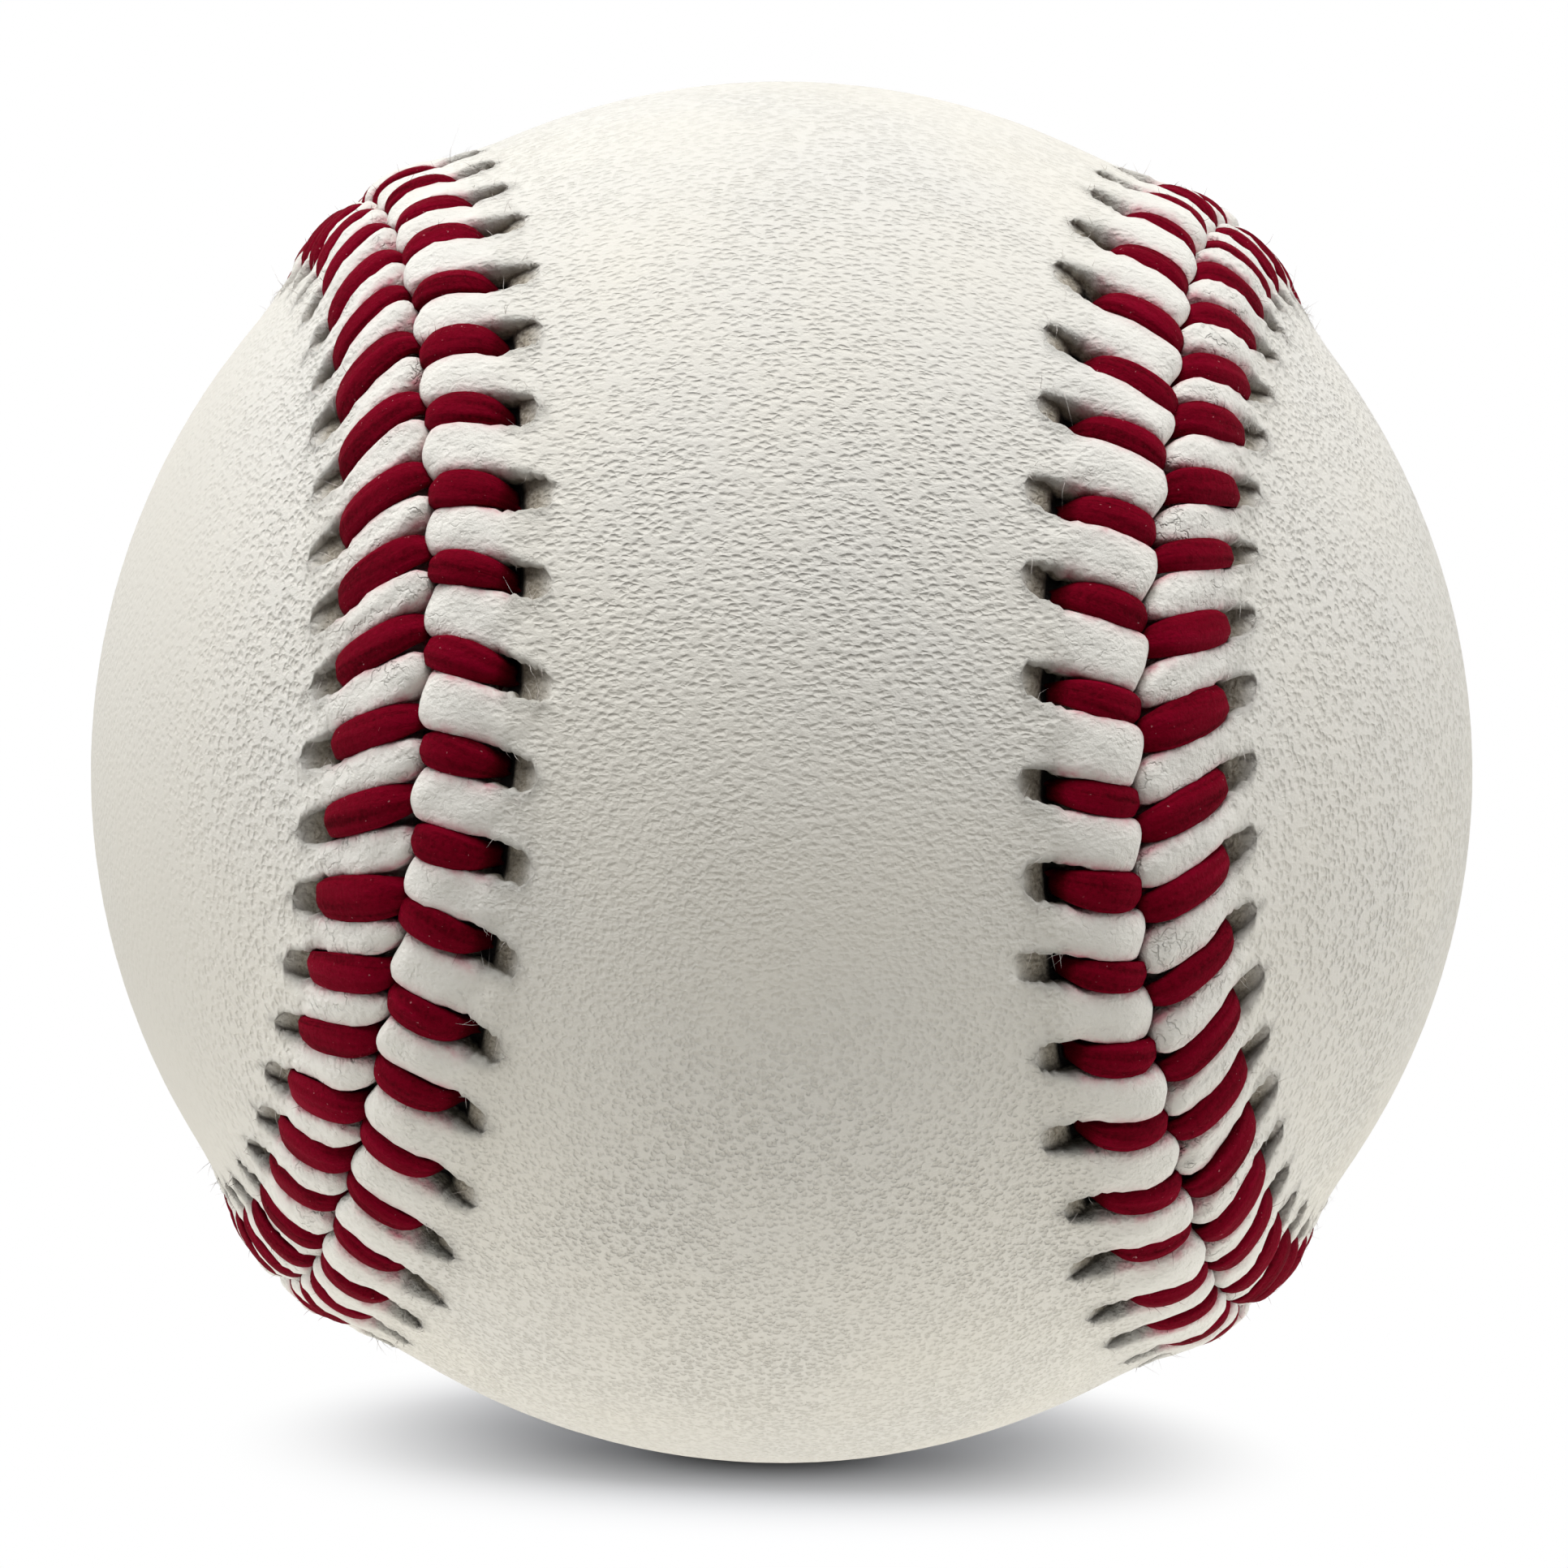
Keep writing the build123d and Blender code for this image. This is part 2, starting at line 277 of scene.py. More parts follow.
# Partly a painted highlight on the raised strands
strand_highlight_crimson = (0.26, 0.0, 0.019)
pale_lint = (0.6, 0.3, 0.32)
black_tones = [(0.012, 0.012, 0.013), (0.03, 0.03, 0.032)]
red_tones = [(0.3, 0.03, 0.025), (0.4, 0.055, 0.04)]
cork_tones = [(0.2, 0.11, 0.055), (0.48, 0.31, 0.18)]
grey_wool_tones = [(0.16, 0.155, 0.15), (0.36, 0.35, 0.34)]
white_wool_tones = [(0.6, 0.58, 0.53), (0.8, 0.78, 0.73)]
cotton_tones = [(0.66, 0.65, 0.62), (0.84, 0.83, 0.8)]
white = (1, 1, 1)
warm_white = (1, 0.982, 0.935)

# Camera, as the photograph shows the ball
image_size = 1932
camera_distance = 152.6
camera_turn_degrees = (-7.766, 1.523, -0.274)
camera_clip = 1.0
lens_mm = 63.19
sensor_mm = 36.0
ball_middle_pixel = (963.06, 951.47)

# Floor and lamps, in metres and watts
floor_half = 1.5
floor_corners = [(-1, -1), (1, -1), (1, 1), (-1, 1)]
surround_middle = (0, 0.0187, 0)
surround_reach = (0.0095, 0.0318)
surround_stretch = (1, 0.567, 0)
surround_light = 0.08
glow_middle = (0, 0, 0)
glow_reach = (0.05, 0.14)
glow_stretch = (0.75, 1.3, 0)
floor_glow = 1.0
glow_bounces = 1.5
lamps = [
    ("top_light", (-0.04, -0.24, 0.36), 0.35, 2.24),
    ("left_light", (-0.5, 0, 0), 0.32, 2.0),
    ("right_light", (0.5, 0, 0), 0.32, 2.08),
    ("back_light", (0, 0.5, 0.08), 0.32, 0.8),
]

# The seam is four equal arcs on the ball that run into each other, as in the solids
waist = math.radians(waist_half_angle)
lean = math.atan((1 / math.sqrt(2) - math.sin(waist)) / math.cos(waist))
seam_angle = math.acos(math.cos(lean) / math.sqrt(2))
half_sweep = math.acos(-math.sin(lean) / (math.sqrt(2) * math.sin(seam_angle)))
arc_length = 2 * half_sweep * math.sin(seam_angle) * ball_radius
seam_length = 4 * arc_length
pitch = seam_length / stitch_count
side_lean, front_lean = math.cos(lean), math.sin(lean)
arc_axes = np.array([
    (side_lean, -front_lean, 0),
    (0, front_lean, -side_lean),
    (-side_lean, -front_lean, 0),
    (0, front_lean, side_lean),
])
arc_across = np.array([
    (-front_lean, -side_lean, 0),
    (0, side_lean, front_lean),
    (front_lean, -side_lean, 0),
    (0, side_lean, -front_lean),
])
arc_along = np.cross(arc_axes, arc_across)
chance = np.random.default_rng(sewing_seed)


def on_seam(along, aside, height):
    """Points at lengths along the seam, distances aside (front positive) and heights over the ball."""
    along, aside, height = np.broadcast_arrays(along, aside, height)
    drift = 0 * aside
    for middle_share, most, drift_reach in seam_drifts:
        away = np.mod(along - (middle_share - 0.5) * seam_length, seam_length) - seam_length / 2
        drift = drift + most * np.exp(-(away / drift_reach) ** 2)
    aside = aside + drift * smooth_step(drift_fades_at, 0, np.abs(aside))
    number = np.floor(along / arc_length).astype(int) % len(arc_axes)
    hand = np.where(number % 2, -1, 1)
    turn = hand * half_sweep * (2 * np.mod(along, arc_length) / arc_length - 1)
    tilt = seam_angle + hand * aside / ball_radius
    out = np.cos(tilt)[..., None] * arc_axes[number]
    across = (np.sin(tilt) * np.cos(turn))[..., None] * arc_across[number]
    onward = (np.sin(tilt) * np.sin(turn))[..., None] * arc_along[number]
    return (ball_radius + height)[..., None] * (out + across + onward)


def at(profile, distance):
    """A drawn profile's value at distances from the seam."""
    places, values = np.array(sorted(profile)).T
    return np.interp(distance, places, values)


def smooth_step(low, high, value):
    """0 at low and 1 at high, with a soft start and end."""
    share = np.clip((value - low) / (high - low), 0, 1)
    return share * share * (3 - 2 * share)


def unit(vectors):
    """Vectors made one long."""
    return vectors / np.linalg.norm(vectors, axis=1)[:, None]


def phase_share(around_share):
    """Which share of a pitch the stitches are ahead, at a share of the way round the seam."""
    turn = 2 * np.pi * (around_share - left_middle_share)
    sway = phase_sway_shares[0] * np.sin(turn) + phase_sway_shares[1] * np.sin(2 * turn)
    return mean_phase_share + phase_swing_share * np.cos(turn) + sway


def sewing(side):
    """The scatter of one panel's stitches: places, leads, lobe heights, groove widths and holes."""
    number = np.arange(stitch_count)
    places = (number + phase_share(number / stitch_count)) * pitch
    return {
        "places": places + chance.normal(0, place_scatter, stitch_count),
        "leads": leads[side] + chance.normal(0, lead_scatter, stitch_count),
        "lobes": 1 + chance.normal(0, lobe_scatter_share, stitch_count),
        "grooves": groove_width_shares[side] + chance.normal(0, groove_scatter_share, stitch_count),
        "holes": hole_length_shares[side] + chance.normal(0, hole_scatter_share, stitch_count),
    }


sewn = {FRONT: sewing(FRONT), BACK: sewing(BACK)}


def lead_share(distance):
    """Which share of its lead a leg has run at a distance from the seam."""
    run = hole_distance - dive_distance
    share = (hole_distance - np.clip(distance, -dive_distance, plain_at)) / run
    bow = leg_bow * np.sin(np.pi * np.clip(share, 0, 1)) / leads[BACK]
    return share + bow


def zigzag(along, distance):
    """How far the noses of the lobes push the seam line to and fro, at a distance from it."""
    turn = along / pitch - phase_share(along / seam_length)
    front_leg = np.cos(2 * np.pi * (turn - leads[FRONT] / pitch))
    back_leg = np.cos(2 * np.pi * (turn - leads[BACK] / pitch))
    push = seam_zigzag * (front_leg - back_leg) / 2
    return push * np.clip(1 - np.abs(distance) / zigzag_reach, 0, 1)


def crumple(points, wave, height):
    """Small uneven swellings of the leather, the same each time."""
    source = np.random.default_rng(wave_seed)
    total = np.zeros(len(points))
    for _ in range(wave_count):
        heading = source.normal(0, 1, 3)
        heading *= 2 * np.pi / (wave * source.uniform(*wave_shares) * np.linalg.norm(heading))
        total += np.sin(points @ heading + source.uniform(0, 2 * np.pi))
    return height * total / math.sqrt(wave_count)


def hole_place(distance, holes):
    """Distances as they are in holes of other lengths than the drawn one."""
    beyond = hole_distance + (distance - hole_distance) / holes
    return np.where(distance > hole_distance, beyond, distance)


def lobe_columns(side, distance):
    """The section across all grooves and lobes at one distance from the seam.

    Lengths along the seam, heights over the ball and distances from the groove's edge."""
    sew = sewn[side]
    slant = math.cos(math.atan(leads[side] / (hole_distance - dive_distance)))
    following = np.roll(sew["places"], -1)
    following[-1] += seam_length
    gap = following - sew["places"]
    rise = np.array(rise_shares)[:, None]
    count = len(rise_shares) - 1
    plain_share = smooth_step(plain_from, plain_at, distance)
    near_hole = smooth_step(dive_distance, hole_distance, distance) * (1 - plain_share)
    within = hole_place(distance, sew["holes"])
    wall = at(groove_noses[side] + groove_half_width, within) * sew["grooves"]
    crest = at(lobe_crest, distance) * sew["lobes"]
    floor = at(groove_floor, within)

    def half_section(walls, floors):
        """From the middle of each groove to the top of the lobe beside it."""
        hang = np.minimum(1, walls / full_groove_half_width)
        ragged = torn_scatter * near_hole * chance.normal(0, 1, stitch_count)
        width = np.maximum(walls + ragged * hang, 0) / slant
        columns = [0 * width, floor_edge_share * width]
        columns += [np.maximum(width + offset * hang, 0) for offset in wall_offsets]
        start = columns[-1]
        steps = count + 1 - len(columns)
        columns += [start + (gap / 2 - start) * (step + 1) / steps for step in range(steps)]
        plain = np.array([gap / 2 * number / count for number in range(count + 1)])
        offsets = np.array(columns) * (1 - plain_share) + plain * plain_share
        base = np.minimum(floors, crest)
        heights = base + (crest - base) * rise
        edge = offsets * slant - walls
        rim = rim_rise * smooth_step(*rim_distances, distance) * (floors < crest - rim_rise)
        swollen = rim * np.exp(-(edge / rim_reach) ** 2) * (rise > rim_from_share)
        return offsets, heights + swollen, edge

    up, up_heights, up_edge = half_section(wall, floor)
    down, down_heights, down_edge = half_section(np.roll(wall, -1), np.roll(floor, -1))
    back = slice(count - 1, 0, -1)
    offsets = np.concatenate([up, gap - down[back]])
    heights = np.concatenate([up_heights, down_heights[back]])
    edge = np.concatenate([up_edge, down_edge[back]])
    share = offsets / gap
    lead = sew["leads"] * (1 - share) + np.roll(sew["leads"], -1) * share
    along = sew["places"] + offsets + lead * lead_share(distance)
    return along.T.ravel(), heights.T.ravel(), edge.T.ravel()


def row_points(side, along, distance, height):
    """One row of leather points beside the seam, with the seam's zigzag and uneven swellings."""
    points = on_seam(along, side * distance + zigzag(along, distance), height)
    swell = crumple(points, swell_wave, swell_height)
    pucker = crumple(points, pucker_wave, pucker_heights[side])
    fade = smooth_step(plain_at, hole_distance, distance)
    return points * (1 + fade * (swell + pucker) / ball_radius)[:, None]


def strip_rows(side):
    """All rows of the sewn strip of one panel, from inside the seam outwards, with their marks."""
    rows, marks = [], []
    along, over, edge = lobe_columns(side, strip_distances[0])
    for distance, depth in edge_depths:
        height = np.minimum(over, depth)
        rows.append(row_points(side, along, distance, height))
        marks.append(strip_marks(height, edge, distance))
    for distance in strip_distances:
        along, over, edge = lobe_columns(side, distance)
        rows.append(row_points(side, along, distance, over))
        marks.append(strip_marks(over, edge, distance))
    return rows, marks


def strip_marks(height, edge, distance):
    """What the material needs to know: hollows for painted shade, stretched lobes, dye and torn edges."""
    hollow = smooth_step(*hollow_heights, height)
    stretched = smooth_step(*stretched_distances, distance) * np.ones_like(height)
    dye = np.exp(-np.abs(edge) / dye_reach) * smooth_step(*dye_distances, distance)
    by_hole = smooth_step(*torn_from, distance) * smooth_step(*torn_until, distance)
    torn = by_hole * np.exp(-np.abs(edge) / torn_reach)
    return np.stack([hollow, stretched, dye, torn], 1)


def quads_between(inner, outer):
    """Quads between two closed rows of vertex numbers."""
    return np.stack([inner, np.roll(inner, -1), np.roll(outer, -1), outer], 1).tolist()


def halving_faces(fine, coarse):
    """Triangles from a closed row to one that has half as many vertices."""
    first, middle, last = fine[0::2], fine[1::2], np.roll(fine, -2)[0::2]
    following = np.roll(coarse, -1)
    faces = [(first, middle, coarse), (middle, following, coarse), (middle, last, following)]
    return np.concatenate([np.stack(face, 1) for face in faces]).tolist()


def flat_map(side, points):
    """A panel laid out flat, true in angle, along its own great circle."""
    x, y, z = unit(points).T
    if side == FRONT:
        return np.stack([np.arctan2(z, -y), np.arctanh(x)], 1)
    return np.stack([np.arctan2(x, y), np.arctanh(z)], 1)


def field_points(side, keep_off, spacing):
    """Evenly spread points on a panel, away from its seam strip."""
    count = int(4 * np.pi * ball_radius**2 / spacing**2)
    number = np.arange(count) + 0.5
    height = 1 - 2 * number / count
    turn = np.pi * (1 + math.sqrt(5)) * number
    around = np.sqrt(1 - height**2)
    points = ball_radius * np.stack([around * np.cos(turn), around * np.sin(turn), height], 1)
    along = np.linspace(0, seam_length, seam_steps, endpoint=False)
    seam = on_seam(along, 0, 0)
    inward = on_seam(along, side * spacing, 0) - seam
    near = np.argmax(points @ seam.T, axis=1)
    reach = np.linalg.norm(points - seam[near], axis=1)
    inside = ((points - seam[near]) * inward[near]).sum(1) > 0
    return points[inside & (reach > keep_off)]


def facing(points, faces, way):
    """Faces of one winding, turned together to look away from the ball's centre (1) or to it (-1)."""
    first, second, third = (points[[face[corner] for face in faces]] for corner in range(3))
    sense = np.sign((np.cross(second - first, third - first) * first).sum(1)).sum()
    return faces if sense * way > 0 else [face[::-1] for face in faces]


def put(name, data):
    """A new object in the scene."""
    thing = bpy.data.objects.new(name, data)
    bpy.context.scene.collection.objects.link(thing)
    return thing


def new_mesh(name, points, faces, marks):
    """A smooth mesh object in metres with named numbers on its points."""
    mesh = bpy.data.meshes.new(name)
    mesh.from_pydata((points * metres_per_mm).tolist(), [], faces)
    for label, values in marks.items():
        attribute = mesh.attributes.new(label, "FLOAT", "POINT")
        attribute.data.foreach_set("value", np.ascontiguousarray(values, dtype=np.float32))
    mesh.shade_smooth()
    return put(name, mesh)


def fibres(roots, ways, bends, lengths, radius):
    """Fine tapered hairs that start at roots and bend: their points and faces."""
    share = np.linspace(0, 1, fibre_rings)
    reach = ways[:, None] * share[:, None] + bends[:, None] * (share**2)[:, None]
    line = roots[:, None] + lengths[:, None, None] * reach
    across = unit(np.cross(ways, bends))
    over = np.cross(across, ways)
    taper = radius * (1 - fibre_taper_share * share**2)
    corners = []
    for corner in range(fibre_sides):
        turn = 2 * np.pi * corner / fibre_sides
        sideways = math.cos(turn) * across - math.sin(turn) * over
        corners.append(line + taper[:, None] * sideways[:, None])
    points = np.stack(corners, 2).reshape(-1, 3)
    numbers = np.arange(len(points)).reshape(len(roots), fibre_rings, fibre_sides)
    near, far = numbers[:, :-1], numbers[:, 1:]
    faces = numbers[:, 0, ::-1].tolist() + numbers[:, -1].tolist()
    for corner in range(fibre_sides):
        following = (corner + 1) % fibre_sides
        strip = [near[..., corner], near[..., following], far[..., following], far[..., corner]]
        faces += np.stack(strip, 2).reshape(-1, 4).tolist()
    return points, faces


def torn_fibres(rows):
    """Pale fibres that stand up from the torn edges of the stitch holes."""
    columns = 2 * (len(rise_shares) - 1)
    distances = np.array([distance for distance, _ in edge_depths] + strip_distances)
    near = np.flatnonzero((distances > hole_distance - dive_distance) & (distances < plain_from))
    count = torn_per_hole * stitch_count
    stitch = np.repeat(np.arange(stitch_count), torn_per_hole)
    row = chance.choice(near, count)
    step = chance.choice(torn_columns, count)
    rows = np.array(rows)
    roots = rows[row, (stitch * columns + step) % (stitch_count * columns)]
    inward = rows[row, stitch * columns] - roots
    inward /= np.linalg.norm(inward, axis=1)[:, None] + least_length
    up = unit(roots)
    ways = up * chance.uniform(*torn_rise_shares, (count, 1))
    ways += inward * chance.uniform(*torn_inward_shares, (count, 1))
    ways += chance.normal(0, torn_way_share, (count, 3))
    bends = chance.normal(0, torn_bend_share, (count, 3)) - torn_droop_share * up
    lengths = torn_length * chance.uniform(*torn_length_shares, count)
    return fibres(roots, unit(ways), bends, lengths, torn_radius)


def panel_middle(side, along, ring, first, distances, profile, spacing):
    """A panel inside one row of its strip: ever coarser rows, then a field. Points and their faces."""
    points, row_faces = [], []
    for distance in distances:
        along = along[::2]
        row = row_points(side, along, distance, at(profile, distance) + 0 * along)
        coarse = first + np.arange(len(row))
        row_faces += halving_faces(ring, coarse)
        points.append(row)
        ring = coarse
        first += len(row)
    rim = points[-1]
    size_share = 1 + at(profile, distances[-1]) / ball_radius
    field = size_share * field_points(side, distances[-1] + field_gap_share * spacing, spacing)
    flat = flat_map(side, np.concatenate([rim, field]))
    edges = [(number, (number + 1) % len(rim)) for number in range(len(rim))]
    inside_only = 1
    net = delaunay_2d_cdt([Vector(place) for place in flat], edges, [], inside_only, same_place_gap)
    _, _, net_faces, net_origins, _, _ = net
    spots = np.concatenate([ring, first + np.arange(len(field))])
    lookup = [int(spots[origin[0]]) for origin in net_origins]
    field_faces = [[lookup[corner] for corner in face] for face in net_faces]
    return np.concatenate([*points, field]), (row_faces, field_faces)


def leather_panel(side, name):
    """One cover panel: the sewn strip along its edge, the smooth field inside it and the flesh side."""
    rows, marks = strip_rows(side)
    columns = len(rows[0])
    numbers = np.arange(columns * len(rows)).reshape(len(rows), columns)
    strip = []
    for inner, outer in zip(numbers, numbers[1:]):
        strip += quads_between(inner, outer)
    points = np.concatenate(rows)
    faces = facing(points, strip, 1)
    layers = [
        (strip_distances[-1], numbers[-1], thinning_distances, lobe_crest, field_spacing, 1),
        (strip_distances[0], numbers[0], flesh_distances, flesh_depth, flesh_spacing, -1),
    ]
    for start, ring, distances, profile, spacing, way in layers:
        along, _, _ = lobe_columns(side, start)
        middle, lots = panel_middle(side, along, ring, len(points), distances, profile, spacing)
        points = np.concatenate([points, middle])
        marks.append(np.zeros((len(middle), len(leather_marks))))
        for lot in lots:
            faces += facing(points, lot, way)
    hairs, hair_faces = torn_fibres(rows)
    faces += [[corner + len(points) for corner in face] for face in hair_faces]
    points = np.concatenate([points, hairs])
    marks.append(np.tile(fibre_mark_shares, (len(hairs), 1)))
    named = dict(zip(leather_marks, np.concatenate(marks).T))
    return new_mesh(name, points, faces, named)


def smooth_line(points, count):
    """Evenly numbered points on a smooth curve through the given ones."""
    points = np.array(points, float)
    padded = np.concatenate([2 * points[:1] - points[1:2], points, 2 * points[-1:] - points[-2:-1]])
    place = np.linspace(0, len(points) - 1, count)
    first = np.minimum(place.astype(int), len(points) - 2)
    share = (place - first)[:, None]
    before, start, end, after = (padded[first + step] for step in range(4))
    bend = 2 * before - 5 * start + 4 * end - after
    curl = 3 * (start - end) + after - before
    return start + share / 2 * (end - before + share * (bend + share * curl))


def needle_rings(first_side):
    """One needle's way round the seam, ring by ring: middles, headings, half widths and marks."""
    reach, height = smooth_line(leg_heights, leg_rings).T
    half_width = at(leg_half_width, reach)
    shares = np.arange(1, under_rings + 1) / (under_rings + 1)
    rings = {"middle": [], "heading": [], "width": [], "leg_along": [], "leg_seed": [], "buried": []}
    side = first_side
    for number in range(stitch_count):
        sew, other = sewn[side], sewn[-side]
        distance = reach * leg_reach_shares[side]
        along = sew["places"][number] + sew["leads"][number] * lead_share(distance)
        leg = on_seam(along, side * distance + zigzag(along, distance), height)
        following = (number + 1) % stitch_count
        next_hole = other["places"][following] + seam_length * (following == 0)
        run_along = along[-1] + (next_hole - along[-1]) * shares
        dive_aside = side * distance[-1]
        hole_aside = -side * reach[0] * leg_reach_shares[-side]
        run = on_seam(run_along, dive_aside + (hole_aside - dive_aside) * shares, under_depth)
        rings["middle"] += [leg, run]
        rings["heading"] += [np.tile(line[0] - line[-1], (len(line), 1)) for line in (leg, run)]
        rings["width"] += [half_width * sew["grooves"][number], np.full(under_rings, half_width.min())]
        rings["leg_along"] += [np.linspace(0, 1, leg_rings), np.zeros(under_rings)]
        rings["leg_seed"] += [np.full(leg_rings + under_rings, chance.uniform(0, 1))]
        rings["buried"] += [smooth_step(*buried_heights, height), np.ones(under_rings)]
        side = -side
    return {label: np.concatenate(parts) for label, parts in rings.items()}


def ring_points(rings):
    """The points of a flattened, twisted thread, ring by ring."""
    middle, width = rings["middle"], rings["width"]
    ahead = unit(np.roll(middle, -1, 0) - np.roll(middle, 1, 0))
    wide = np.cross(middle, rings["heading"])
    wide = unit(wide - ahead * (wide * ahead).sum(1)[:, None])
    thick = np.cross(wide, ahead)
    thick *= np.where((thick * middle).sum(1) < 0, -1, 1)[:, None]
    thickness_share = least_thickness_share + (1 - least_thickness_share) * width / max(width)
    thickness = leg_half_thickness * np.minimum(1, thickness_share)
    turn = 2 * np.pi * np.arange(ring_sides) / ring_sides - np.pi / 2
    twist = 2 * np.pi * (rings["leg_seed"] + ply_turn_share * rings["leg_along"])
    swell = 1 + ply_depth_share * np.cos(ply_count * turn[None] + twist[:, None])
    across = wide[:, None] * (width[:, None] * swell * np.cos(turn))[..., None]
    over = thick[:, None] * (thickness[:, None] * swell * np.sin(turn))[..., None]
    return middle[:, None] + across + over


def thread_fuzz(points, middle):
    """Short loose fibres on the upper side of the legs, and the thread points that they start at."""
    count = fuzz_per_leg * stitch_count
    leg = np.repeat(np.arange(stitch_count), fuzz_per_leg)
    ring_margin, corner_margin = leg_rings // fuzz_margin_parts, ring_sides // fuzz_margin_parts
    ring = leg * (leg_rings + under_rings) + chance.integers(ring_margin, leg_rings - ring_margin, count)
    corner = chance.integers(corner_margin, ring_sides - corner_margin, count)
    roots = points[ring, corner]
    up = unit(roots - middle[ring])
    ways = up * chance.uniform(*fuzz_rise_shares, (count, 1))
    ways += chance.normal(0, fuzz_scatter_share, (count, 3))
    bends = chance.normal(0, fuzz_bend_share, (count, 3)) - fuzz_droop_share * up
    lengths = fuzz_length * chance.uniform(*fuzz_length_shares, count)
    hairs, faces = fibres(roots, unit(ways), bends, lengths, fuzz_radius)
    return hairs, faces, ring * ring_sides + corner


def needle_thread(first_side, name):
    """One needle's thread: flattened legs over the leather, round runs below it, and fuzz."""
    rings = needle_rings(first_side)
    points = ring_points(rings)
    count = len(points)
    numbers = np.arange(count * ring_sides).reshape(count, ring_sides)
    faces = []
    for ring in range(count):
        faces += quads_between(numbers[(ring + 1) % count], numbers[ring])
    hairs, hair_faces, roots = thread_fuzz(points, rings["middle"])
    faces += [[corner + numbers.size for corner in face] for face in hair_faces]
    marks = {"around": np.tile(np.arange(ring_sides) / ring_sides, count)}
    for label in ("leg_along", "leg_seed", "buried"):
        marks[label] = np.repeat(rings[label], ring_sides)
    each = np.repeat(roots, fibre_rings * fibre_sides)
    marks = {label: np.concatenate([values, values[each]]) for label, values in marks.items()}
    return new_mesh(name, np.concatenate([points.reshape(-1, 3), hairs]), faces, marks)


def new_material(name):
    """An empty node material, its tree and its main shader."""
    material = bpy.data.materials.new(name)
    material.use_nodes = True
    tree = material.node_tree
    return material, tree, tree.nodes["Principled BSDF"]


def feed(tree, socket, value):
    """Gives an input a value or another node's output."""
    if isinstance(value, bpy.types.NodeSocket):
        tree.links.new(value, socket)
    else:
        socket.default_value = value


def add(tree, kind, settings=(), **inputs):
    """A node with its settings and inputs. An input goes by its name, or by n and its number."""
    made = tree.nodes.new(kind)
    for setting, value in dict(settings).items():
        setattr(made, setting, value)
    for name, value in inputs.items():
        key = int(name[1:]) if name[0] == "n" and name[1:].isdigit() else name
        feed(tree, made.inputs[key], value)
    return made


def colour(values):
    """A colour that covers fully."""
    return (*values, 1)


def mixed(tree, share, first, second):
    """Two tones mixed, each a colour or another node's output."""
    tones = []
    for tone in (first, second):
        tones.append(tone if isinstance(tone, bpy.types.NodeSocket) else colour(tone))
    mix = add(tree, "ShaderNodeMix", {"data_type": "RGBA"}, n0=share, n6=tones[0], n7=tones[1])
    return mix.outputs[2]


def maths(tree, how, first, second=0.0, clamp=False):
    """Two numbers put together."""
    settings = {"operation": how, "use_clamp": clamp}
    return add(tree, "ShaderNodeMath", settings, n0=first, n1=second).outputs[0]


def times(tree, first, second, clamp=False):
    """One number times another."""
    return maths(tree, "MULTIPLY", first, second, clamp)


def plus(tree, first, second):
    """One number and another."""
    return maths(tree, "ADD", first, second)


def spread(tree, value, low, high, start=0.0, end=1.0, how="LINEAR"):
    """A value from low to high made to run from start to end."""
    settings = {"interpolation_type": how}
    ranged = add(tree, "ShaderNodeMapRange", settings, n0=value, n1=low, n2=high, n3=start, n4=end)
    return ranged.outputs[0]


def mark(tree, name):
    """A named number on the mesh's points."""
    return add(tree, "ShaderNodeAttribute", {"attribute_name": name}).outputs["Fac"]


def place_in_mm(tree, stretch=(1, 1, 1)):
    """The place on the object in mm, stretched by shares along its axes."""
    where = add(tree, "ShaderNodeTexCoord").outputs["Object"]
    scale = [share / metres_per_mm for share in stretch]
    return add(tree, "ShaderNodeMapping", Vector=where, Scale=scale).outputs[0]


def noise(tree, where, scale, detail=plain_detail, roughness=plain_roughness, distortion=0.0):
    """Cloudy noise around a half."""
    return add(
        tree, "ShaderNodeTexNoise",
        Vector=where, Scale=scale, Detail=detail, Roughness=roughness, Distortion=distortion,
    ).outputs[0]


def cells(tree, where, scale):
    """How far a place is from the middle of its cell."""
    settings = {"feature": "F1"}
    return add(tree, "ShaderNodeTexVoronoi", settings, Vector=where, Scale=scale).outputs["Distance"]


def soft_pits(tree, where, scale):
    """Small soft-edged pits, one in each cell of a bent grid: 1 in their middles."""
    bend = add(tree, "ShaderNodeTexNoise", Vector=where, Scale=scale, Detail=pit_bend_detail).outputs[1]
    bent = add(
        tree, "ShaderNodeVectorMath", {"operation": "MULTIPLY_ADD"},
        n0=bend, n1=[pit_bend / scale] * 3, n2=where,
    ).outputs[0]
    return spread(tree, cells(tree, bent, scale), pit_edge_share, pit_middle_share, how="SMOOTHSTEP")


def finish_surface(tree, shader, tone, roughness, relief, bump, depth):
    """Gives a material its tone, its roughness and a relief of a depth in mm."""
    raised = add(tree, "ShaderNodeBump", Strength=bump, Distance=depth * metres_per_mm, Height=relief)
    feed(tree, shader.inputs["Base Color"], tone)
    feed(tree, shader.inputs["Roughness"], roughness)
    feed(tree, shader.inputs["Normal"], raised.outputs[0])


